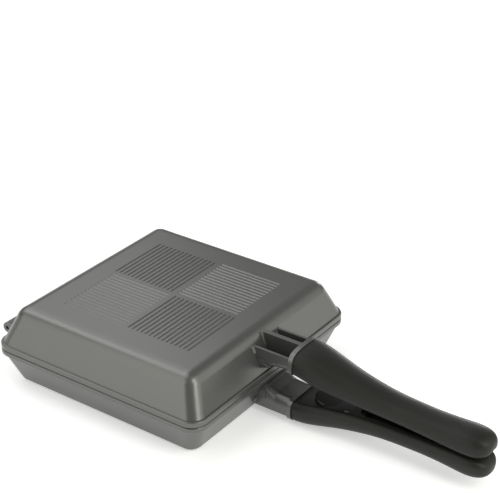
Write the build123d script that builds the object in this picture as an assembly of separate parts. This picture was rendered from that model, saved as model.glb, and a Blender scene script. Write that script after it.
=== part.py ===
from build123d import *
from math import cos, pi, radians, sin, tan
import os

# A double sided flip pan: two square cast pans, hinged rim to rim, each with a pull-off handle.
# Row frame: +X along the hinge, -Y towards the handles, +Z up. Z = 0 is the lower pan's flat
# base and the origin is the middle of that base. All sizes are in millimetres.
# Each pan is drawn in its own "half frame": Z = 0 is its rim face and +Z goes away from the
# other pan. Each handle is drawn in a "handle frame": Y = 0 is the face that meets the pan's
# collar, the grip runs towards -Y, and Z = 0 is the grip's inner face at that collar.

# ---- Driving dimensions: the pans ------------------------------------------------------
pan_width = 210.0
pan_depth = 205.5
rim_corner_radius = 13.5
rim_edge_radius = 0.9
rim_gap = 0.4
rim_step = 2.1
lower_depth = 31.3
upper_depth = 34.8
lower_rim_height = 4.3
upper_rim_height = 5.0
lower_wall_slope = 20.9
upper_wall_slope = 22.7
lower_base_radius = 6.0
upper_base_radius = 12.5
wall_corner_radius = 11.5
base_corner_radius = 10.0
wall_thickness = 3.5
floor_thickness = 4.0
floor_radius = 6.0

# Shallow grooves in four fields on the flat outer face, turned like a pinwheel
groove_count = 15
groove_pitch = 4.2
groove_width = 1.7
groove_depth = 0.6
groove_length = 60.0
field_margin = 2.0

# ---- Driving dimensions: inside of the divided lower pan --------------------------------
divider_x = -5.0
cross_divider_y = 14.5
divider_thickness = 4.0
divider_slope = 6.0
divider_drop = 3.0
compartment_radius = 12.0
rib_count = 17
rib_pitch = 9.4
rib_width = 3.4
rib_height = 2.4
rib_taper = 20.0
rib_end_steps = 3
rib_end_margin = 6.0
stub_length = 7.0
stub_gap = 8.0
stub_margin = 5.0
ring_radius = 27.0
ring_width = 2.0
ring_height = 1.2

# ---- Driving dimensions: the hinge -------------------------------------------------------
hinge_offset = 12.9
barrel_radius = 4.6
barrel_length = 13.0
barrel_margin = 28.0
barrel_spacing = 1.4
pin_radius = 1.8
pin_clearance = 0.05
pin_recess = 1.5
pin_shoulder_radius = 2.9
pin_shoulder_width = 0.8
pin_head_radius = 2.7
pin_head_height = 1.2
head_gap = 0.2
lug_height = 8.5

# ---- Driving dimensions: the cast brackets that carry the handles -----------------------
collar_reach = 26.5
collar_thickness = 3.8
collar_margin = 0.5
seat_gap = 0.2
upper_handle_height = 13.2
lower_handle_height = 11.1
upper_handle_lean = 1.62
lower_handle_lean = -1.82
upper_side_height = 26.9
lower_side_height = 25.5
upper_rib_height = 31.8
lower_rib_height = 28.5
bracket_half_width = 17.3
bracket_side = 2.2
bracket_skin = 3.0
bracket_corner = 8.0
bracket_rib_width = 4.2
bracket_root_depth = 17.5
# Where the trough's inner skin drops towards the wall: reach from the collar and drop
knee_reach, knee_drop = 17.0, 0.8
foot_reach, foot_drop = 29.0, 5.5
pad_reach = 25.0
pad_stand = 0.9
pad_rise = 5.0
wall_web_radius = 2.0
collar_web_radius = 3.2
outer_web_radius = 1.2
web_bite = 0.1

# The forked tongue that each handle slides over
tongue_half_width = 12.5
tongue_bottom = 4.4
tongue_thickness = 4.6
tongue_length = 30.0
tongue_slot = 9.4
tongue_slot_start = 17.0
notch_start = 9.0
notch_length = 3.4
notch_depth = 2.1
tongue_clearance = 0.3

# ---- Driving dimensions: the handle -------------------------------------------------------
# One row per station along the grip: distance from the collar, half width, height of the
# inner face, height of the outer crest, and how square the outer side of the section is.
grip_stations = [
    (0.0, 19.1, 0.0, 19.2, 3.4),
    (10.0, 19.3, -1.5, 18.8, 3.1),
    (22.0, 18.6, -4.0, 16.6, 2.85),
    (38.0, 16.8, -6.4, 12.7, 2.65),
    (56.0, 15.35, -8.0, 9.0, 2.45),
    (76.0, 14.3, -9.15, 5.8, 2.4),
    (96.0, 13.8, -9.9, 4.5, 2.45),
    (116.0, 13.9, -10.9, 4.1, 2.55),
    (136.0, 14.4, -11.7, 5.1, 2.7),
    (148.0, 14.5, -11.85, 5.8, 2.7),
]
grip_length = 163.5
grip_end_angles = (30.0, 55.0, 75.0, 85.0)
grip_end_bluntness = 0.75
grip_corner = 5.5
root_step_length = 1.6
root_step_depth = 0.5

cover_start = 4.0
cover_half_width = 14.0
cover_plate_length = 37.0
cover_tab_length = 6.5
cover_tab_thickness = 3.2
cover_corner = 4.0
cover_clearance = 0.15
cover_screw_x = 9.0
cover_screw_radius = 1.3
cover_screw_head = 2.4
cover_screw_length = 8.0

button_position = 23.0
button_radius = 11.0
button_stand = 2.0
button_edge = 1.0
button_travel = 1.6
button_flange_radius = 12.3
button_flange_top = 0.4
button_flange_thickness = 0.8
button_clearance = 0.35
stem_radius = 4.0
stem_gap = 0.3
spring_wire = 0.8
spring_radius = 5.8
spring_turns = 4
spring_steps = 14
spring_sides = 6
spring_pocket_depth = 3.8
spring_pocket_margin = 0.4

plate_thickness = 0.9
plate_half_width = 13.6
plate_start = 6.0

leaf_thickness = 0.7
leaf_half_width = 8.0
leaf_hook = 2.6
leaf_end = 40.0
leaf_screw_position = 36.5
leaf_screw_radius = 1.3
leaf_screw_head = 2.5
leaf_screw_depth = 2.2
screw_head_height = 1.0
catch_play = 0.3

magnet_position = 141.0
magnet_radius = 6.0
magnet_thickness = 3.0
magnet_stand = 0.65
magnet_clearance = 0.1

recess_start = 53.0
recess_length = 73.0
recess_half_width = 8.0
recess_floor = -1.5

# ---- Worked out from the values above -------------------------------------------------------
parting_height = lower_depth + rim_gap / 2
collar_y = -(pan_depth / 2 + collar_reach)
hinge_y = pan_depth / 2 + hinge_offset
tongue_top = tongue_bottom + tongue_thickness
plate_bottom = tongue_bottom - tongue_clearance - plate_thickness
leaf_bottom = tongue_top + tongue_clearance
cover_inner_level = plate_bottom - head_gap / 2
slack = 0.5
barrel_start = pan_width / 2 - barrel_margin
cut_reach = lower_depth + upper_depth


class Half:
    """The sizes in which one pan differs from the other, and where it lies in the row frame."""

    def __init__(self, depth, rim_height, slope, base_radius, handle_height, lean,
                 side_height, rib_height, upper):
        self.depth = depth
        self.rim_height = rim_height
        self.slope = slope
        self.base_radius = base_radius
        self.handle_height = handle_height
        self.lean = lean
        self.side_height = side_height
        self.rib_height = rib_height
        self.upper = upper

    def place(self, shape):
        """Half frame to row frame: the lower pan is the one that is turned over."""
        if self.upper:
            return Pos(0, 0, parting_height + rim_gap / 2) * shape
        return Pos(0, 0, parting_height - rim_gap / 2) * mirror(shape, Plane.XY)

    def at_collar(self, shape):
        """Handle frame to half frame."""
        return Pos(0, collar_y, self.handle_height) * Rot(self.lean, 0, 0) * shape

    def place_handle(self, shape):
        return self.place(self.at_collar(shape))


LOWER = Half(lower_depth, lower_rim_height, lower_wall_slope, lower_base_radius,
             lower_handle_height, lower_handle_lean, lower_side_height, lower_rib_height,
             upper=False)
UPPER = Half(upper_depth, upper_rim_height, upper_wall_slope, upper_base_radius,
             upper_handle_height, upper_handle_lean, upper_side_height, upper_rib_height,
             upper=True)


# ---- Small helpers ---------------------------------------------------------------------------
def across(y):
    """A sketch plane square to the handle at y: its own X is X and its own Y is Z."""
    return Plane(origin=(0, y, 0), x_dir=(1, 0, 0), z_dir=(0, -1, 0))


def block(x0, x1, y0, y1, z0, z1):
    """A box between two corners."""
    middle = Pos((x0 + x1) / 2, (y0 + y1) / 2, (z0 + z1) / 2)
    return middle * Box(x1 - x0, y1 - y0, z1 - z0)


def post(radius, x, y, z0, z1):
    """An upright cylinder."""
    return Pos(x, y, z0) * Cylinder(radius, z1 - z0, align=(Align.CENTER, Align.CENTER, Align.MIN))


def rod(radius, x0, x1, y, z):
    """A cylinder along X."""
    along = Pos(x0, y, z) * Rot(0, 90, 0)
    return along * Cylinder(radius, x1 - x0, align=(Align.CENTER, Align.CENTER, Align.MIN))


def rounded_between(x0, x1, y0, y1, radius, z):
    """A rounded rectangle between two corners, at height z."""
    middle = Pos((x0 + x1) / 2, (y0 + y1) / 2, z)
    return middle * RectangleRounded(x1 - x0, y1 - y0, radius)


def rounded_block(x0, x1, y0, y1, radius, z0, z1):
    return extrude(rounded_between(x0, x1, y0, y1, radius, z0), z1 - z0)


def top_edges(solid):
    return solid.faces().sort_by(Axis.Z)[-1].edges()


# ---- The pans ----------------------------------------------------------------------------------
def inset_at(half, z):
    """How far the straight outer wall stands in from the rim's edge, z away from the rim face."""
    return rim_step + (z - half.rim_height) * tan(radians(half.slope))


def pan_outside(half):
    """The solid outer form: a rim band, then a sloped wall blended into a flat base."""
    x, y = pan_width / 2, pan_depth / 2
    band = rounded_block(-x, x, -y, y, rim_corner_radius, 0, half.rim_height)
    band = fillet(top_edges(band) + band.faces().sort_by(Axis.Z)[0].edges(), rim_edge_radius)
    low, high = inset_at(half, half.rim_height - slack), inset_at(half, half.depth)
    wall = loft([
        rounded_between(low - x, x - low, low - y, y - low, wall_corner_radius,
                        half.rim_height - slack),
        rounded_between(high - x, x - high, high - y, y - high, base_corner_radius, half.depth),
    ], ruled=True)
    return band + fillet(top_edges(wall), half.base_radius)


def base_grooves(half):
    """Four fields of straight V grooves; neighbouring fields run at right angles."""
    profile = Polyline((-groove_width / 2, 0), (0, -groove_depth), (groove_width / 2, 0),
                       close=True)
    one = extrude(across(-field_margin) * make_face(profile), groove_length)
    field = [
        Pos(field_margin + groove_pitch * (n + 0.5), 0, half.depth) * one
        for n in range(groove_count)
    ]
    return [Rot(0, 0, 90 * turn) * groove for turn in range(4) for groove in field]


def compartment(half, x0, x1, y0, y1, slopes, top, radius):
    """A hollow with its own slope on each side (left, right, front, back) and a soft floor."""
    floor = half.depth - floor_thickness
    left, right, front, back = (tan(radians(slope)) * (floor - top) for slope in slopes)
    hollow = loft([
        rounded_between(x0, x1, y0, y1, radius, top),
        rounded_between(x0 + left, x1 - right, y0 + front, y1 - back, radius, floor),
    ], ruled=True)
    return fillet(top_edges(hollow), floor_radius)


def rim_opening(half, z):
    """Half sizes of the inside of the wall, z away from the rim face."""
    inset = inset_at(half, z) + wall_thickness / cos(radians(half.slope))
    return pan_width / 2 - inset, pan_depth / 2 - inset


def plain_inside(half):
    x, y = rim_opening(half, -slack)
    return compartment(half, -x, x, -y, y, [half.slope] * 4, -slack, wall_corner_radius)


def divided_inside(half):
    """Three compartments: two on the left of the long divider, the ribbed grill on its right."""
    x, y = rim_opening(half, -slack)
    deep_x, deep_y = rim_opening(half, divider_drop)
    lid_recess = rounded_block(-deep_x, deep_x, -deep_y, deep_y, wall_corner_radius,
                               -slack, divider_drop)
    rim_taper = loft([
        rounded_between(-x, x, -y, y, wall_corner_radius, -slack),
        rounded_between(-deep_x, deep_x, -deep_y, deep_y, wall_corner_radius, divider_drop),
    ], ruled=True)
    half_wall = divider_thickness / 2
    left, right = divider_x - half_wall, divider_x + half_wall
    front, back = cross_divider_y - half_wall, cross_divider_y + half_wall
    outer, inner, top = half.slope, divider_slope, divider_drop - slack / 10
    return [
        lid_recess, rim_taper,
        compartment(half, -deep_x, left, -deep_y, front, [outer, inner, outer, inner], top,
                    compartment_radius),
        compartment(half, -deep_x, left, back, deep_y, [outer, inner, inner, outer], top,
                    compartment_radius),
        compartment(half, right, deep_x, -deep_y, deep_y, [inner, outer, outer, outer], top,
                    compartment_radius),
    ]


def tapered_rib(x0, x1, y, floor):
    """A rib with faceted round ends that stands on the floor and narrows to its crest."""
    radius = rib_width / 2
    turns = [pi * (n / rib_end_steps - 0.5) for n in range(rib_end_steps + 1)]
    right = [(x1 - radius + radius * cos(turn), y + radius * sin(turn)) for turn in turns]
    left = [(x0 + radius - radius * cos(turn), y - radius * sin(turn)) for turn in turns]
    outline = make_face(Polyline(*right, *left, close=True))
    return extrude(Pos(0, 0, floor) * outline, -rib_height, taper=rib_taper)


def grill_ribs(half):
    """Long ribs across the grill side, each with a short stub beside the divider."""
    floor = half.depth - floor_thickness + slack / 5
    rise = floor - divider_drop
    left = divider_x + divider_thickness / 2 + tan(radians(divider_slope)) * rise + stub_margin
    right = rim_opening(half, floor)[0] - rib_end_margin
    stub_end = left + stub_length
    ribs = []
    for n in range(rib_count):
        y = (n - (rib_count - 1) / 2) * rib_pitch
        ribs.append(tapered_rib(left, stub_end, y, floor))
        ribs.append(tapered_rib(stub_end + stub_gap, right, y, floor))
    return ribs


def floor_ring(half):
    """A low ring cast on the floor of the front left compartment."""
    floor = half.depth - floor_thickness
    x = (divider_x - rim_opening(half, floor)[0]) / 2
    y = (cross_divider_y - rim_opening(half, floor)[1]) / 2
    low = floor - ring_height
    outer = post(ring_radius, x, y, low, floor + slack / 5)
    return outer - post(ring_radius - ring_width, x, y, low, floor + slack / 5)


def barrel_starts(half):
    """Where this pan's two hinge barrels begin along X; the upper pan's are on the left."""
    shift = 0 if half.upper else barrel_length + barrel_spacing
    pair = 2 * barrel_length + barrel_spacing
    return [-barrel_start + shift, barrel_start - pair + shift]


def hinge_lug(x):
    """A barrel on a tapered lug that grows out of the rim and the wall above it."""
    axis_z = -rim_gap / 2
    outline = Polyline((pan_depth / 2 - lug_height, slack), (hinge_y, slack),
                       (hinge_y + barrel_radius / 2, barrel_radius * 0.8 + axis_z),
                       (pan_depth / 2 - lug_height / 2, lug_height), close=True)
    side = Plane(origin=(x, 0, 0), x_dir=(0, 1, 0), z_dir=(1, 0, 0))
    lug = extrude(side * make_face(outline), barrel_length)
    return lug + rod(barrel_radius, x, x + barrel_length, hinge_y, axis_z)


def pin_bore(x):
    return rod(pin_radius + pin_clearance, x - slack, x + barrel_length + slack,
               hinge_y, -rim_gap / 2)


def trough_section(y, half_width, bottom, top, corner):
    """A section of the bracket's trough at y, round along its two bottom edges."""
    outline = Pos(0, (bottom + top) / 2) * Rectangle(2 * half_width, top - bottom)
    outline = fillet(outline.vertices().group_by(Axis.Y)[0], corner)
    return across(y) * outline


def trough(half, margin, skin, top, start_reach):
    """The bracket's trough, grown by a margin, from the wall to a distance from the collar."""
    half_width, corner = bracket_half_width + margin, bracket_corner + margin
    fall = (foot_drop - knee_drop) / (foot_reach - knee_reach)
    if start_reach < knee_reach:
        bends = [(start_reach, 0.0), (knee_reach, knee_drop)]
    else:
        bends = [(start_reach, knee_drop + (start_reach - knee_reach) * fall)]
    bends += [(foot_reach, foot_drop), (collar_reach + bracket_root_depth, foot_drop)]
    return loft([
        trough_section(collar_y + reach, half_width, half.handle_height - drop - margin + skin,
                       top, corner)
        for reach, drop in bends
    ], ruled=True)


def corner_web(x, y, side, away, radius, rise, low, high):
    """A concave web in the corner of a plate's face at x and a wall's face at y.

    side and away are 1 or -1 and say on which side of each face the web lies. The wall's
    face moves by rise along Y for each unit of height, and y is where it is at height low.
    """
    corner = Vector(x - side * web_bite, y - away * web_bite)
    over, out = Vector(side * radius, 0), Vector(0, away * radius)
    inset = Vector(side * slack, away * slack)
    middle = corner + (over + out) * (1 - 0.5 ** 0.5)
    outline = [
        ThreePointArc(corner + out, middle, corner + over),
        Polyline(corner + over, corner + over - Vector(0, inset.Y), corner - inset,
                 corner + out - Vector(inset.X, 0), corner + out),
    ]
    height = high - low
    direction = Vector(0, rise * height, height)
    return extrude(Pos(0, 0, low) * make_face(outline), direction.length, dir=direction)


def bracket_webs(half):
    """Webs where the two outer plates and the middle rib meet the wall and the collar."""
    rib, outer = bracket_rib_width / 2, bracket_half_width
    inner = outer - bracket_side
    plates = [(rib, 1, half.rib_height, collar_web_radius),
              (outer, 1, half.side_height, outer_web_radius),
              (inner, -1, half.side_height, collar_web_radius)]
    wall_slope, lean = tan(radians(half.slope)), -tan(radians(half.lean))
    low = half.handle_height + bracket_corner
    wall_y = inset_at(half, low) - pan_depth / 2
    collar_face = collar_y + seat_gap + collar_thickness + (low - half.handle_height) * lean
    webs = []
    for x, side, high, collar_radius in plates:
        for mirrored in (-1, 1):
            webs.append(corner_web(mirrored * x, wall_y, mirrored * side, -1,
                                   wall_web_radius, wall_slope, low, high))
            webs.append(corner_web(mirrored * x, collar_face, mirrored * side, 1,
                                   collar_radius, lean, low, high))
    return webs


def bracket(half):
    """The trough with a middle rib between the wall and the collar, open on its outer side."""
    end = collar_thickness / 2
    shell = trough(half, 0, 0, half.side_height, end)
    pad_top = half.handle_height + pad_rise
    pad = trough(half, pad_stand, 0, pad_top, pad_reach)
    pocket = trough(half, -bracket_side, bracket_skin - bracket_side,
                    half.side_height + slack, end)
    half_rib = bracket_rib_width / 2
    root_y = collar_y + collar_reach + bracket_root_depth
    rib = block(-half_rib, half_rib, collar_y + end, root_y,
                half.handle_height + bracket_skin / 2, half.rib_height)
    pocket -= block(-half_rib, half_rib, collar_y, root_y, 0, half.rib_height)
    return shell + pad - pocket + rib + bracket_webs(half)


def tongue():
    """The fork behind the collar: the handle's socket slides over it and its catch hooks in."""
    body = block(-tongue_half_width, tongue_half_width, -tongue_length, collar_thickness / 2,
                 tongue_bottom, tongue_top)
    body = fillet(body.edges().filter_by(Axis.Z).group_by(Axis.Y)[0], tongue_thickness / 2)
    slot = rounded_block(-tongue_slot / 2, tongue_slot / 2, -tongue_length - tongue_slot,
                         -tongue_slot_start, tongue_slot / 2 - slack / 10,
                         tongue_bottom - slack, tongue_top + slack)
    notch = block(-tongue_half_width - slack, tongue_half_width + slack,
                  -notch_start - notch_length, -notch_start, tongue_top - notch_depth,
                  tongue_top + slack)
    return body - slot - notch


def collar():
    """The arched plate that the handle's end closes against."""
    return Pos(0, seat_gap, 0) * extrude(grip_section(0, collar_margin), -collar_thickness)


def make_pan(half, hollows, extras):
    pan = pan_outside(half) + bracket(half)
    pan += [hinge_lug(x) for x in barrel_starts(half)]
    pan += half.at_collar(collar() + tongue())
    pan -= hollows
    pan -= [pin_bore(x) for x in barrel_starts(half)]
    pan -= base_grooves(half)
    if extras:
        pan += extras
    return half.place(pan)


# ---- The hinge pins -----------------------------------------------------------------------------
def hinge_pin(upper_start):
    """A shoulder pin, free to turn in the lower barrel, that the upper barrel slides over."""
    z = parting_height
    lower_start = upper_start + barrel_length + barrel_spacing
    lower_end = lower_start + barrel_length
    shoulder = lower_start - (barrel_spacing + pin_shoulder_width) / 2
    shank = rod(pin_radius, upper_start + pin_recess, lower_end + head_gap, hinge_y, z)
    ring = rod(pin_shoulder_radius, shoulder, shoulder + pin_shoulder_width, hinge_y, z)
    head = rod(pin_head_radius, lower_end + head_gap, lower_end + head_gap + pin_head_height,
               hinge_y, z)
    head = chamfer(head.faces().sort_by(Axis.X)[-1].edges(), pin_head_height / 2)
    return shank + ring + head


# ---- The handle -----------------------------------------------------------------------------------
def station_at(distance):
    """Half width, inner height, crest height and squareness of the grip at a distance."""
    for near, far in zip(grip_stations, grip_stations[1:]):
        if near[0] <= distance <= far[0]:
            share = (distance - near[0]) / (far[0] - near[0])
            return [a + (b - a) * share for a, b in zip(near[1:], far[1:])]
    return list(grip_stations[-1][1:])


def inner_height(distance):
    return station_at(distance)[1]


def section_outline(half_width, inner, crest, squareness, y, corner):
    """A closed section: a flat inner side with round corners and an arched outer side.

    The arch is two curves that meet at the crest. Each reaches the middle of a rounded
    rectangle's corner as far out as the squareness says.
    """
    side = inner + corner
    pull = (8 * 0.5 ** (1 / squareness) - 4) / 3
    flat = Line((corner - half_width, inner), (half_width - corner, inner))
    outline = [flat]
    for hand in (1, -1):
        outline.append(CenterArc((hand * (half_width - corner), side), corner,
                                 -90 if hand > 0 else 180, 90))
        outline.append(Bezier((hand * half_width, side),
                              (hand * half_width, side + pull * (crest - side)),
                              (hand * pull * half_width, crest), (0, crest)))
    return across(y) * make_face(outline)


def grip_section(distance, margin=0.0):
    half_width, inner, crest, squareness = station_at(distance)
    return section_outline(half_width + margin, inner - margin, crest + margin, squareness,
                           -distance, grip_corner + margin)


def end_section(angle):
    """A section of the round end: the angle runs from 0 at the last station to 90 at the tip."""
    distance, half_width, inner, crest, squareness = grip_stations[-1]
    size, advance = cos(radians(angle)), sin(radians(angle))
    middle, reach = (inner + crest) / 2, (crest - inner) / 2
    width_size, height_size = size ** grip_end_bluntness, size ** grip_end_bluntness
    y = -(distance + (grip_length - distance) * advance)
    return section_outline(half_width * width_size, middle - reach * height_size,
                           middle + reach * height_size, squareness, y,
                           grip_corner * height_size)


def grip_outside():
    sections = [grip_section(station[0]) for station in grip_stations]
    sections += [end_section(angle) for angle in grip_end_angles]
    return loft(sections)


def cover_prism(half_width, start, plate_end, tab_end, plate_level, tab_level, corner):
    """The space that the cover fills, before it is trimmed to the grip's inner face."""
    plate = rounded_block(-half_width, half_width, -plate_end, -start, corner,
                          -cut_reach, plate_level)
    tab = rounded_block(-half_width, half_width, -tab_end, -start, corner,
                        -cut_reach, tab_level)
    return plate + tab


def tab_level():
    return inner_height(cover_start + cover_plate_length) + cover_tab_thickness


def button_bores():
    """The button's hole and the wider seat under it for the button's flange."""
    y = -button_position
    hole = post(button_radius + button_clearance, 0, y, -cut_reach, cut_reach)
    seat = post(button_flange_radius + button_clearance, 0, y,
                button_flange_top - head_gap, cut_reach)
    return hole + seat


def cover_screw_places():
    y = -(cover_start + cover_plate_length + cover_tab_length / 2)
    return [(-cover_screw_x, y), (cover_screw_x, y)]


def screw(radius, head_radius, length, x, y, head_level):
    """A countersunk screw: the head's face is at head_level and the shank goes up from it."""
    head = Pos(x, y, head_level) * Cone(head_radius, radius, screw_head_height,
                                        align=(Align.CENTER, Align.CENTER, Align.MIN))
    slot = block(x - head_radius, x + head_radius, y - radius / 4, y + radius / 4,
                 head_level - slack, head_level + screw_head_height / 2)
    return head + post(radius, x, y, head_level, head_level + length) - slot


def cover_screw_level():
    return inner_height(cover_start + cover_plate_length + cover_tab_length / 2) + slack


def catch_chamber():
    """The room in which the leaf swings: highest over its hook, nothing at its screw."""
    leaf_top = leaf_bottom + leaf_thickness
    lever = (leaf_screw_position - notch_start) / (leaf_screw_position - button_position)
    front, hinge = -notch_start + slack, -(leaf_screw_position - leaf_screw_head - slack)
    outline = Polyline((front, tongue_bottom),
                       (front, leaf_top + lever * button_travel + tongue_clearance),
                       (hinge, leaf_top), (hinge, tongue_bottom), close=True)
    half_width = leaf_half_width + slack
    side = Plane(origin=(-half_width, 0, 0), x_dir=(0, 1, 0), z_dir=(1, 0, 0))
    return extrude(side * make_face(outline), 2 * half_width)


def make_grip():
    """The moulded grip: socket, catch chamber, cover seat, long recess and magnet seat."""
    grip = grip_outside()
    step = extrude(grip_section(0, slack) - grip_section(0, -root_step_depth),
                   root_step_length)
    side = tongue_half_width + tongue_clearance
    socket = block(-side, side, -tongue_length - tongue_clearance, slack,
                   plate_bottom + plate_thickness, tongue_top + tongue_clearance)
    leaf_seat = block(-leaf_half_width - slack, leaf_half_width + slack, -leaf_end - slack,
                      -notch_start, plate_bottom, leaf_bottom + leaf_thickness)
    opening = rounded_block(-plate_half_width - head_gap, plate_half_width + head_gap,
                            -cover_start - cover_plate_length + slack, -plate_start + head_gap,
                            cover_corner, -cut_reach, plate_bottom + plate_thickness)
    cover_end = cover_start + cover_plate_length
    seat = cover_prism(cover_half_width + cover_clearance, cover_start - cover_clearance,
                       cover_end + cover_clearance,
                       cover_end + cover_tab_length + cover_clearance,
                       plate_bottom, tab_level(), cover_corner)
    magnet_y = -magnet_position
    magnet_top = inner_height(magnet_position) - magnet_stand + magnet_thickness
    magnet_seat = post(magnet_radius + magnet_clearance, 0, magnet_y, -cut_reach, magnet_top)
    recess = rounded_block(-recess_half_width, recess_half_width,
                           -recess_start - recess_length, -recess_start,
                           recess_half_width - slack, -cut_reach, recess_floor)
    recess = fillet(top_edges(recess), 3)
    screw_holes = [
        post(cover_screw_radius, x, y, -cut_reach, cover_screw_level() + cover_screw_length)
        for x, y in cover_screw_places()
    ]
    screw_holes.append(post(leaf_screw_radius, 0, -leaf_screw_position, tongue_bottom,
                            leaf_bottom + leaf_thickness + leaf_screw_depth))
    return grip - [step, socket, catch_chamber(), leaf_seat, opening, seat, magnet_seat, recess] \
        - screw_holes


def make_cover():
    """The wedge-shaped cover, flush with the grip's inner face, that holds the button in."""
    cover_end = cover_start + cover_plate_length
    prism = cover_prism(cover_half_width, cover_start, cover_end, cover_end + cover_tab_length,
                        cover_inner_level, tab_level(), cover_corner)
    cover = grip_outside() & prism
    level = cover_screw_level()
    for x, y in cover_screw_places():
        cover -= post(cover_screw_radius + cover_clearance, x, y, -cut_reach, cut_reach)
        cover -= post(cover_screw_head + cover_clearance, x, y, -cut_reach,
                      level + screw_head_height + head_gap)
    return cover - button_bores()


def make_button():
    """A round push button: slanted face, flange, stem and a pocket for its spring."""
    y = -button_position
    bottom = button_flange_top + button_flange_thickness
    face = inner_height(button_position) - button_stand
    cap = post(button_radius, 0, y, face - button_radius / 4, bottom)
    rise = inner_height(button_position - button_radius) - inner_height(
        button_position + button_radius)
    slant = Rot(-Vector(0, 2 * button_radius, rise).get_angle(Vector(0, 1, 0)), 0, 0)
    trim = Pos(0, y, face) * slant * block(-button_radius * 2, button_radius * 2,
                                           -button_radius * 2, button_radius * 2,
                                           -button_radius, 0)
    cap -= trim
    cap = fillet(cap.faces().sort_by(Axis.Z)[0].edges(), button_edge)
    flange = post(button_flange_radius, 0, y, button_flange_top, bottom)
    stem = post(stem_radius, 0, y, bottom - slack, leaf_bottom - stem_gap)
    half_wire = spring_wire / 2 + spring_pocket_margin
    pocket = post(spring_radius + half_wire, 0, y, bottom - spring_pocket_depth, bottom)
    pocket -= post(spring_radius - half_wire, 0, y, bottom - spring_pocket_depth, bottom)
    return cap + flange - pocket + stem


def make_spring():
    """The button's return spring: a wire of few sides, lofted from section to section."""
    wire = spring_wire / 2
    low = button_flange_top + button_flange_thickness - spring_pocket_depth
    start = low + wire + head_gap / 2
    length = plate_bottom - low - spring_wire - head_gap
    climb = length / (2 * pi * spring_turns)
    sections = []
    for step in range(spring_turns * spring_steps + 1):
        turn = 2 * pi * step / spring_steps
        outward = Vector(cos(turn), sin(turn), 0)
        centre = outward * spring_radius + Vector(0, -button_position, start + climb * turn)
        along = Vector(-spring_radius * sin(turn), spring_radius * cos(turn), climb)
        plane = Plane(origin=centre, x_dir=outward, z_dir=along)
        sections.append(plane * RegularPolygon(wire, spring_sides))
    return loft(sections, ruled=True)


def make_guide_plate():
    """The sheet-steel plate that guides the button's stem and the fork's inner face."""
    end = cover_start + cover_plate_length - 2 * slack
    plate = rounded_block(-plate_half_width, plate_half_width, -end, -plate_start,
                          cover_corner - slack, plate_bottom, plate_bottom + plate_thickness)
    return plate - post(stem_radius + button_clearance, 0, -button_position,
                        plate_bottom - slack, tongue_bottom) \
        - post(leaf_screw_head + slack, 0, -leaf_screw_position, plate_bottom - slack,
               tongue_bottom)


def make_catch_leaf():
    """The spring-steel strip whose turned-down end hooks into the fork's notch."""
    hook_far = -(notch_start + notch_length - catch_play)
    hook_near = hook_far + leaf_thickness
    strip = block(-leaf_half_width, leaf_half_width, -leaf_end, hook_near, leaf_bottom,
                  leaf_bottom + leaf_thickness)
    hook = block(-leaf_half_width, leaf_half_width, hook_far, hook_near,
                 leaf_bottom + leaf_thickness - leaf_hook, leaf_bottom + leaf_thickness)
    hole = post(leaf_screw_radius + cover_clearance, 0, -leaf_screw_position,
                leaf_bottom - slack, leaf_bottom + 2 * leaf_thickness)
    return strip + hook - hole


def make_leaf_screw():
    head_level = leaf_bottom - screw_head_height
    shank_length = screw_head_height + leaf_thickness + leaf_screw_depth - head_gap
    head = post(leaf_screw_head, 0, -leaf_screw_position, head_level, leaf_bottom)
    slot = block(-leaf_screw_head, leaf_screw_head, -leaf_screw_position - slack / 2,
                 -leaf_screw_position + slack / 2, head_level - slack, head_level + slack)
    shank = post(leaf_screw_radius - cover_clearance, 0, -leaf_screw_position, head_level,
                 head_level + shank_length)
    return head + shank - slot


def make_cover_screws():
    return Compound(children=[
        screw(cover_screw_radius - cover_clearance, cover_screw_head, cover_screw_length - slack,
              x, y, cover_screw_level())
        for x, y in cover_screw_places()
    ])


def make_magnet():
    low = inner_height(magnet_position) - magnet_stand
    disc = post(magnet_radius, 0, -magnet_position, low, low + magnet_thickness)
    return chamfer(disc.faces().sort_by(Axis.Z)[0].edges(), magnet_clearance * 3)


# ---- All sub-parts ---------------------------------------------------------------------------------
def build_all():
    lower_extras = [*grill_ribs(LOWER), floor_ring(LOWER)]
    parts = {
        "lower_divided_pan": make_pan(LOWER, divided_inside(LOWER), lower_extras),
        "upper_plain_pan": make_pan(UPPER, [plain_inside(UPPER)], []),
    }
    for side, start in zip(("left", "right"), barrel_starts(UPPER)):
        parts[f"{side}_hinge_pin"] = hinge_pin(start)
    handle_pieces = {
        "grip": make_grip(),
        "grip_cover": make_cover(),
        "release_button": make_button(),
        "button_spring": make_spring(),
        "guide_plate": make_guide_plate(),
        "catch_leaf": make_catch_leaf(),
        "catch_screw": make_leaf_screw(),
        "cover_screws": make_cover_screws(),
        "handle_magnet": make_magnet(),
    }
    for level, half in (("lower", LOWER), ("upper", UPPER)):
        for name, piece in handle_pieces.items():
            parts[f"{level}_{name}"] = half.place_handle(piece)
    return parts


if __name__ == "__main__":
    os.makedirs("parts", exist_ok=True)
    for name, part in build_all().items():
        export_step(part, f"parts/{name}.step")
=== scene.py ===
import logging
import math
from dataclasses import dataclass, field
from enum import Enum

import bpy
from mathutils import Matrix, Vector


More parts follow.
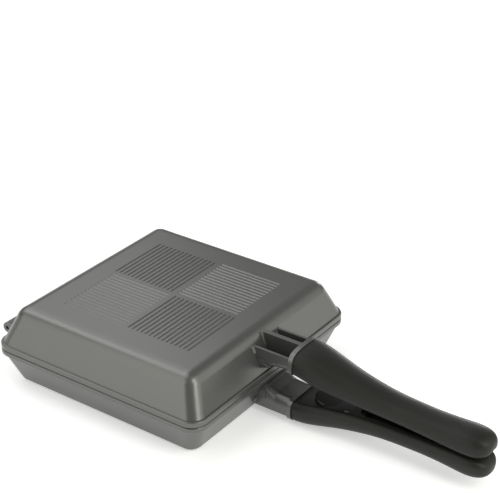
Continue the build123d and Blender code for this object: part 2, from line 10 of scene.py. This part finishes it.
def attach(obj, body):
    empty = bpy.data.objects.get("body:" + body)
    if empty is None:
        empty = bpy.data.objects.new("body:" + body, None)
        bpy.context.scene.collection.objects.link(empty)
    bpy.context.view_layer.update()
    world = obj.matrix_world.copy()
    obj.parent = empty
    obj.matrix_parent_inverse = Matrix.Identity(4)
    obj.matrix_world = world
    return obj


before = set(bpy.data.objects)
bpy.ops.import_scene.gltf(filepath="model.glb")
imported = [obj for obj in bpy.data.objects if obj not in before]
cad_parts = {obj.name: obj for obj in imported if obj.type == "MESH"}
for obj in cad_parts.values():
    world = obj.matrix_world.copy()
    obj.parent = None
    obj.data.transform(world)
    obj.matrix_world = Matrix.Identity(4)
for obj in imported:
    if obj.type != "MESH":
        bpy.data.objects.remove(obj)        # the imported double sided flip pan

logging.basicConfig(level=logging.INFO, format="%(message)s")
log = logging.getLogger("flip_pan")

WHITE = (1.0, 1.0, 1.0, 1.0)
SMOOTH_ANGLE = math.radians(40)
CROWN_TOLERANCE = 0.00007        # metres, to find the edge of a pip's crown


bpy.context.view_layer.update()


class Body(Enum):
    """The bodies of the two halves, which their modelled pieces ride on."""

    LOWER_PAN = "lower_pan"
    UPPER_PAN = "upper_pan"


class Slot(Enum):
    """The material slots of the record."""

    PAN_COATING = "pan_coating"
    GRIP_PLASTIC = "grip_plastic"
    COVER_PLASTIC = "cover_plastic"
    BUTTON_PLASTIC = "button_plastic"
    STEEL = "steel"
    SPRING_STEEL = "spring_steel"
    MAGNET_PLATING = "magnet_plating"


class SurfaceEffects:
    """The shader node groups that several finishes share."""

    MOTTLE_DETAIL = 3.0
    MOTTLE_ROUGHNESS = 0.55
    GRAIN_DETAIL = 2.0

    def __init__(self) -> None:
        """Build each group once."""
        self.mottle = self._mottle()
        self.grain = self._grain()

    @staticmethod
    def _new(name: str, inputs: tuple[str, ...], output: str) -> bpy.types.NodeTree:
        """Make an empty node group that reads a position.

        Args:
            name: the group's name.
            inputs: the names of its other inputs, all plain numbers.
            output: the name of the number that it puts out.

        Returns:
            The new group, with its input and output nodes in it.
        """
        group = bpy.data.node_groups.new(name, "ShaderNodeTree")
        group.interface.new_socket("Position", in_out="INPUT", socket_type="NodeSocketVector")
        for label in inputs:
            group.interface.new_socket(label, in_out="INPUT", socket_type="NodeSocketFloat")
        group.interface.new_socket(output, in_out="OUTPUT", socket_type="NodeSocketFloat")
        group.nodes.new("NodeGroupInput").name = "in"
        group.nodes.new("NodeGroupOutput").name = "out"
        return group

    def _mottle(self) -> bpy.types.NodeTree:
        """Build the slow unevenness of a sprayed or moulded surface.

        Returns:
            A group that puts out a value around 0.5.
        """
        group = self._new("soft_mottle", ("Scale",), "Value")
        nodes, links = group.nodes, group.links
        noise = nodes.new("ShaderNodeTexNoise")
        noise.inputs["Detail"].default_value = self.MOTTLE_DETAIL
        noise.inputs["Roughness"].default_value = self.MOTTLE_ROUGHNESS
        links.new(nodes["in"].outputs["Position"], noise.inputs["Vector"])
        links.new(nodes["in"].outputs["Scale"], noise.inputs["Scale"])
        links.new(noise.outputs["Fac"], nodes["out"].inputs["Value"])
        return group

    def _grain(self) -> bpy.types.NodeTree:
        """Build the fine grain of a blasted mould or a sprayed coat.

        Returns:
            A group that puts out the grain's height, from 0 to 1.
        """
        group = self._new("fine_grain", ("Scale", "Pebble"), "Height")
        nodes, links = group.nodes, group.links
        noise = nodes.new("ShaderNodeTexNoise")
        noise.inputs["Detail"].default_value = self.GRAIN_DETAIL
        pebble = nodes.new("ShaderNodeTexVoronoi")
        pebble.feature = "SMOOTH_F1"
        blend = nodes.new("ShaderNodeMix")
        blend.data_type = "FLOAT"
        for node in (noise, pebble):
            links.new(nodes["in"].outputs["Position"], node.inputs["Vector"])
            links.new(nodes["in"].outputs["Scale"], node.inputs["Scale"])
        links.new(nodes["in"].outputs["Pebble"], blend.inputs["Factor"])
        links.new(noise.outputs["Fac"], blend.inputs["A"])
        links.new(pebble.outputs["Distance"], blend.inputs["B"])
        links.new(blend.outputs["Result"], nodes["out"].inputs["Height"])
        return group


@dataclass(frozen=True)
class Finish:
    """One finish: its colours, its gloss, and how its surface is grained."""

    slot: Slot
    dark: tuple[float, float, float]
    light: tuple[float, float, float]
    roughness: tuple[float, float]
    grain_scale: float
    grain_height: float
    grain_pebble: float = 0.5
    mottle_scale: float = 14.0
    metallic: float = 0.0
    specular: float = 0.5
    stretch: tuple[float, float, float] = (1.0, 1.0, 1.0)

    def material(self, effects: SurfaceEffects) -> bpy.types.Material:
        """Build the node material of this finish.

        Args:
            effects: the shared node groups.

        Returns:
            The material, named after its slot.
        """
        material = bpy.data.materials.new(self.slot.value)
        material.use_nodes = True
        nodes, links = material.node_tree.nodes, material.node_tree.links
        shader = nodes["Principled BSDF"]
        shader.inputs["Metallic"].default_value = self.metallic
        shader.inputs["Specular IOR Level"].default_value = self.specular
        place = nodes.new("ShaderNodeTexCoord")
        turned = nodes.new("ShaderNodeMapping")
        turned.inputs["Scale"].default_value = self.stretch
        mottle = nodes.new("ShaderNodeGroup")
        mottle.node_tree = effects.mottle
        mottle.inputs["Scale"].default_value = self.mottle_scale
        grain = nodes.new("ShaderNodeGroup")
        grain.node_tree = effects.grain
        grain.inputs["Scale"].default_value = self.grain_scale
        grain.inputs["Pebble"].default_value = self.grain_pebble
        tone = nodes.new("ShaderNodeMix")
        tone.data_type = "RGBA"
        tone.inputs["A"].default_value = (*self.dark, 1.0)
        tone.inputs["B"].default_value = (*self.light, 1.0)
        gloss = nodes.new("ShaderNodeMapRange")
        gloss.inputs["To Min"].default_value = self.roughness[0]
        gloss.inputs["To Max"].default_value = self.roughness[1]
        bump = nodes.new("ShaderNodeBump")
        bump.inputs["Strength"].default_value = 1.0
        bump.inputs["Distance"].default_value = self.grain_height
        links.new(place.outputs["Object"], turned.inputs["Vector"])
        for node in (mottle, grain):
            links.new(turned.outputs["Vector"], node.inputs["Position"])
        links.new(mottle.outputs["Value"], tone.inputs["Factor"])
        links.new(mottle.outputs["Value"], gloss.inputs["Value"])
        links.new(grain.outputs["Height"], bump.inputs["Height"])
        links.new(tone.outputs["Result"], shader.inputs["Base Color"])
        links.new(gloss.outputs["Result"], shader.inputs["Roughness"])
        links.new(bump.outputs["Normal"], shader.inputs["Normal"])
        return material


PAN_COATING = Finish(Slot.PAN_COATING, (0.142, 0.143, 0.139), (0.160, 0.161, 0.156),
                     (0.28, 0.32), metallic=0.64, mottle_scale=9.0, grain_scale=1300.0,
                     grain_pebble=0.2, grain_height=1.2e-6)
GRIP_PLASTIC = Finish(Slot.GRIP_PLASTIC, (0.0130, 0.0133, 0.0112), (0.0165, 0.0168, 0.0141),
                      (0.42, 0.50), specular=0.28, mottle_scale=20.0, grain_scale=1500.0,
                      grain_pebble=0.6, grain_height=1.0e-5)
COVER_PLASTIC = Finish(Slot.COVER_PLASTIC, (0.0075, 0.0075, 0.0070), (0.0105, 0.0105, 0.0098),
                       (0.34, 0.42), grain_scale=1300.0, grain_height=1.0e-5)
BUTTON_PLASTIC = Finish(Slot.BUTTON_PLASTIC, (0.012, 0.012, 0.012), (0.016, 0.016, 0.016),
                        (0.30, 0.38), grain_scale=1500.0, grain_height=8.0e-6)
STEEL = Finish(Slot.STEEL, (0.42, 0.42, 0.41), (0.56, 0.56, 0.55), (0.22, 0.38), metallic=1.0,
               mottle_scale=260.0, grain_scale=2600.0, grain_height=6.0e-6,
               stretch=(0.12, 1.0, 1.0))
SPRING_STEEL = Finish(Slot.SPRING_STEEL, (0.34, 0.34, 0.35), (0.50, 0.50, 0.51), (0.20, 0.34),
                      metallic=1.0, mottle_scale=320.0, grain_scale=2600.0,
                      grain_height=5.0e-6)
MAGNET_PLATING = Finish(Slot.MAGNET_PLATING, (0.56, 0.55, 0.52), (0.66, 0.65, 0.62),
                        (0.12, 0.24), metallic=1.0, mottle_scale=160.0, grain_scale=2200.0,
                        grain_height=4.0e-6)


class Wardrobe:
    """Every finish as a material, made once and put on each piece."""

    def __init__(self, effects: SurfaceEffects) -> None:
        """Build the materials.

        Args:
            effects: the shared node groups.
        """
        finishes = (PAN_COATING, GRIP_PLASTIC, COVER_PLASTIC, BUTTON_PLASTIC, STEEL,
                    SPRING_STEEL, MAGNET_PLATING)
        self.materials = {finish.slot: finish.material(effects) for finish in finishes}

    def dress(self, piece: bpy.types.Object, slot: Slot) -> None:
        """Put one finish all over a piece.

        Args:
            piece: a CAD node's object or a modelled piece.
            slot: which finish it takes.
        """
        piece.data.materials.clear()
        piece.data.materials.append(self.materials[slot])
        for polygon in piece.data.polygons:
            polygon.material_index = 0

    def dress_node(self, name: str, slot: Slot) -> None:
        """Put one finish on a CAD node and report it.

        Args:
            name: the node's name.
            slot: which finish it takes.
        """
        self.dress(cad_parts[name], slot)
        log.info("%s: %s", name, slot.value)


@dataclass
class PanHalf:
    """One half of the pan, with the small pip that its casting leaves on the bracket.

    The pip stands pip_height proud of the plate and reaches pip_root into it. Its edge is
    rounded over the share pip_rounding of its height.
    """

    node: str
    body: Body
    pip_side: float = -0.06
    pip_place: tuple[float, float] | None = None
    pip_radius: float = 0.0009
    pip_height: float = 0.0007
    pip_root: float = 0.0004
    pip_facets: int = 32
    pip_rounding: float = 0.8
    pip_round_steps: int = 4

    def dress(self, wardrobe: Wardrobe) -> None:
        """Give the casting its coat.

        Args:
            wardrobe: the finishes.
        """
        wardrobe.dress_node(self.node, Slot.PAN_COATING)
        if self.pip_place is not None:
            pip = self.build_pip()
            wardrobe.dress(pip, Slot.PAN_COATING)
            log.info("%s: %s", pip.name, Slot.PAN_COATING.value)

    def build_pip(self) -> bpy.types.Object:
        """Raise the round casting pip on the outer side of the bracket's plate.

        Returns:
            The pip, seated in the plate and riding with the pan.
        """
        start = Vector((self.pip_side, *self.pip_place))
        hit, seat, _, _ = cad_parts[self.node].ray_cast(start, Vector((1.0, 0.0, 0.0)))
        if not hit:
            raise RuntimeError("the bracket's plate isn't beside the pip")
        depth = self.pip_height + self.pip_root
        bpy.ops.object.select_all(action="DESELECT")
        bpy.ops.mesh.primitive_cylinder_add(
            vertices=self.pip_facets, radius=self.pip_radius, depth=depth,
            location=seat + Vector((self.pip_root - depth / 2, 0.0, 0.0)),
            rotation=(0.0, -math.pi / 2, 0.0))
        pip = bpy.context.object
        pip.name = "bracket_casting_pip"
        bpy.ops.object.transform_apply(location=True, rotation=True, scale=True)
        crown = seat.x - self.pip_height
        bpy.ops.object.mode_set(mode="EDIT")
        bpy.ops.mesh.select_all(action="DESELECT")
        bpy.ops.object.mode_set(mode="OBJECT")
        for edge in pip.data.edges:
            ends = [pip.data.vertices[index].co.x for index in edge.vertices]
            edge.select = all(abs(x - crown) < CROWN_TOLERANCE for x in ends)
        bpy.ops.object.mode_set(mode="EDIT")
        bpy.ops.mesh.select_mode(type="EDGE")
        bpy.ops.mesh.bevel(offset=self.pip_height * self.pip_rounding,
                           segments=self.pip_round_steps)
        bpy.ops.mesh.select_all(action="SELECT")
        bpy.ops.mesh.normals_make_consistent(inside=False)
        bpy.ops.object.mode_set(mode="OBJECT")
        bpy.ops.object.shade_smooth_by_angle(angle=SMOOTH_ANGLE)
        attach(pip, self.body.value)
        return pip


@dataclass
class Hinge:
    """The two pins that the halves turn and lift off on."""

    nodes: tuple[str, ...] = ("left_hinge_pin", "right_hinge_pin")

    def dress(self, wardrobe: Wardrobe) -> None:
        """Give the pins their steel.

        Args:
            wardrobe: the finishes.
        """
        for name in self.nodes:
            wardrobe.dress_node(name, Slot.STEEL)


@dataclass
class Handle:
    """One detachable handle: its grip, and the catch inside it."""

    side: str
    parts: dict[str, Slot] = field(default_factory=lambda: {
        "grip": Slot.GRIP_PLASTIC,
        "grip_cover": Slot.COVER_PLASTIC,
        "release_button": Slot.BUTTON_PLASTIC,
        "button_spring": Slot.SPRING_STEEL,
        "guide_plate": Slot.STEEL,
        "catch_leaf": Slot.SPRING_STEEL,
        "catch_screw": Slot.STEEL,
        "cover_screws": Slot.STEEL,
        "handle_magnet": Slot.MAGNET_PLATING,
    })

    def dress(self, wardrobe: Wardrobe) -> None:
        """Give each part of the handle its finish.

        Args:
            wardrobe: the finishes.
        """
        for part, slot in self.parts.items():
            wardrobe.dress_node(f"{self.side}_{part}", slot)


@dataclass(frozen=True)
class Lamp:
    """A soft rectangular lamp that faces the pan; a brightness of 1 is white."""

    name: str
    azimuth: float
    elevation: float
    distance: float
    width: float
    height: float
    brightness: float
    colour: tuple[float, float, float] = (1.0, 1.0, 1.0)

    def hang(self, target: Vector) -> None:
        """Hang the lamp.

        Args:
            target: the point that it faces, in metres.
        """
        data = bpy.data.lights.new(self.name, "AREA")
        data.shape, data.size, data.size_y = "RECTANGLE", self.width, self.height
        data.energy = self.brightness * math.pi * self.width * self.height
        data.color = self.colour
        lamp = bpy.data.objects.new(self.name, data)
        bpy.context.scene.collection.objects.link(lamp)
        turn, rise = math.radians(self.azimuth), math.radians(self.elevation)
        away = Vector((math.cos(turn) * math.cos(rise), math.sin(turn) * math.cos(rise),
                       math.sin(rise)))
        lamp.location = target + away * self.distance
        lamp.rotation_euler = (-away).to_track_quat("-Z", "Y").to_euler()


WARM_WHITE = (1.0, 1.0, 0.93)
LAMPS = (
    Lamp("left_softbox", azimuth=156.0, elevation=24.0, distance=1.6,
         width=1.4, height=1.4, brightness=1.36, colour=WARM_WHITE),
    Lamp("right_softbox", azimuth=286.0, elevation=26.0, distance=1.6,
         width=2.0, height=1.6, brightness=1.05, colour=WARM_WHITE),
    Lamp("right_strip", azimuth=262.0, elevation=36.0, distance=1.4,
         width=0.6, height=1.2, brightness=2.6, colour=WARM_WHITE),
    Lamp("back_softbox", azimuth=72.0, elevation=46.0, distance=1.6,
         width=1.8, height=1.0, brightness=1.3),
    Lamp("rim_softbox", azimuth=8.0, elevation=6.0, distance=1.6,
         width=0.4, height=0.5, brightness=6.0),
    Lamp("top_softbox", azimuth=116.0, elevation=66.0, distance=1.7,
         width=1.3, height=1.1, brightness=1.3),
)


@dataclass
class Studio:
    """The camera, the white floor and the soft lights."""

    camera_place: tuple[float, float, float] = (-0.7603, -0.6195, 0.6269)
    camera_right: tuple[float, float, float] = (0.5810, -0.8139, 0.0)
    camera_up: tuple[float, float, float] = (0.3819, 0.2726, 0.8831)
    camera_forward: tuple[float, float, float] = (0.7188, 0.5131, -0.4692)
    lens: float = 99.53
    sensor: float = 36.0
    floor_size: float = 30.0
    floor_colour: tuple[float, float, float] = (0.86, 0.86, 0.86)
    floor_roughness: float = 0.9
    floor_lift: tuple[float, float] = (0.42, 0.80)
    floor_lift_radius: tuple[float, float] = (0.6, 2.0)
    sky: float = 0.24
    backdrop: float = 1.0
    lamp_target: tuple[float, float, float] = (0.0, 0.0, 0.04)

    def build(self) -> None:
        """Build everything round the pan."""
        self._camera()
        self._floor()
        self._world()
        for lamp in LAMPS:
            lamp.hang(Vector(self.lamp_target))
        bpy.context.scene.view_settings.view_transform = "Standard"

    def _camera(self) -> None:
        """Stand the camera where the photograph was taken."""
        data = bpy.data.cameras.new("camera")
        data.lens, data.sensor_width = self.lens, self.sensor
        camera = bpy.data.objects.new("camera", data)
        bpy.context.scene.collection.objects.link(camera)
        axes = (Vector(self.camera_right).normalized(), Vector(self.camera_up).normalized(),
                -Vector(self.camera_forward).normalized())
        turn = Matrix(axes).transposed().to_4x4()
        camera.matrix_world = Matrix.Translation(Vector(self.camera_place)) @ turn
        bpy.context.scene.camera = camera

    def _floor(self) -> None:
        """Lay the pale floor, white to the eye and still taking the pan's shadow."""
        bpy.ops.object.select_all(action="DESELECT")
        bpy.ops.mesh.primitive_plane_add(size=self.floor_size, location=(0, 0, 0))
        floor = bpy.context.object
        floor.name = "floor"
        material = bpy.data.materials.new("floor_white")
        material.use_nodes = True
        nodes, links = material.node_tree.nodes, material.node_tree.links
        shader = nodes["Principled BSDF"]
        shader.inputs["Base Color"].default_value = (*self.floor_colour, 1.0)
        shader.inputs["Roughness"].default_value = self.floor_roughness
        shader.inputs["Specular IOR Level"].default_value = 0.0
        shader.inputs["Emission Color"].default_value = WHITE
        path = nodes.new("ShaderNodeLightPath")
        seen = path.outputs["Is Camera Ray"]
        for ray in ("Is Glossy Ray", "Is Transmission Ray"):
            either = nodes.new("ShaderNodeMath")
            either.operation = "MAXIMUM"
            links.new(seen, either.inputs[0])
            links.new(path.outputs[ray], either.inputs[1])
            seen = either.outputs[0]
        place = nodes.new("ShaderNodeTexCoord")
        reach = nodes.new("ShaderNodeVectorMath")
        reach.operation = "LENGTH"
        level = nodes.new("ShaderNodeMapRange")
        level.inputs["From Min"].default_value = self.floor_lift_radius[0]
        level.inputs["From Max"].default_value = self.floor_lift_radius[1]
        level.inputs["To Min"].default_value = self.floor_lift[0]
        level.inputs["To Max"].default_value = self.floor_lift[1]
        lift = nodes.new("ShaderNodeMath")
        lift.operation = "MULTIPLY"
        links.new(place.outputs["Object"], reach.inputs[0])
        links.new(reach.outputs["Value"], level.inputs["Value"])
        links.new(seen, lift.inputs[0])
        links.new(level.outputs["Result"], lift.inputs[1])
        links.new(lift.outputs[0], shader.inputs["Emission Strength"])
        floor.data.materials.append(material)

    def _world(self) -> None:
        """Fill the room with a soft light and show the camera white."""
        world = bpy.data.worlds.new("soft_white")
        bpy.context.scene.world = world
        world.use_nodes = True
        nodes, links = world.node_tree.nodes, world.node_tree.links
        sky = nodes["Background"]
        sky.inputs["Color"].default_value = WHITE
        path = nodes.new("ShaderNodeLightPath")
        level = nodes.new("ShaderNodeMapRange")
        level.inputs["To Min"].default_value = self.sky
        level.inputs["To Max"].default_value = self.backdrop
        links.new(path.outputs["Is Camera Ray"], level.inputs["Value"])
        links.new(level.outputs["Result"], sky.inputs["Strength"])


def main() -> None:
    """Build the pan's looks in order."""
    Studio().build()
    log.info("studio: %d lamps", len(LAMPS))
    wardrobe = Wardrobe(SurfaceEffects())
    for half in (PanHalf("lower_divided_pan", Body.LOWER_PAN),
                 PanHalf("upper_plain_pan", Body.UPPER_PAN, pip_place=(-0.1039, 0.0459))):
        half.dress(wardrobe)
    Hinge().dress(wardrobe)
    for side in ("lower", "upper"):
        Handle(side).dress(wardrobe)


if __name__ == "__main__":
    main()
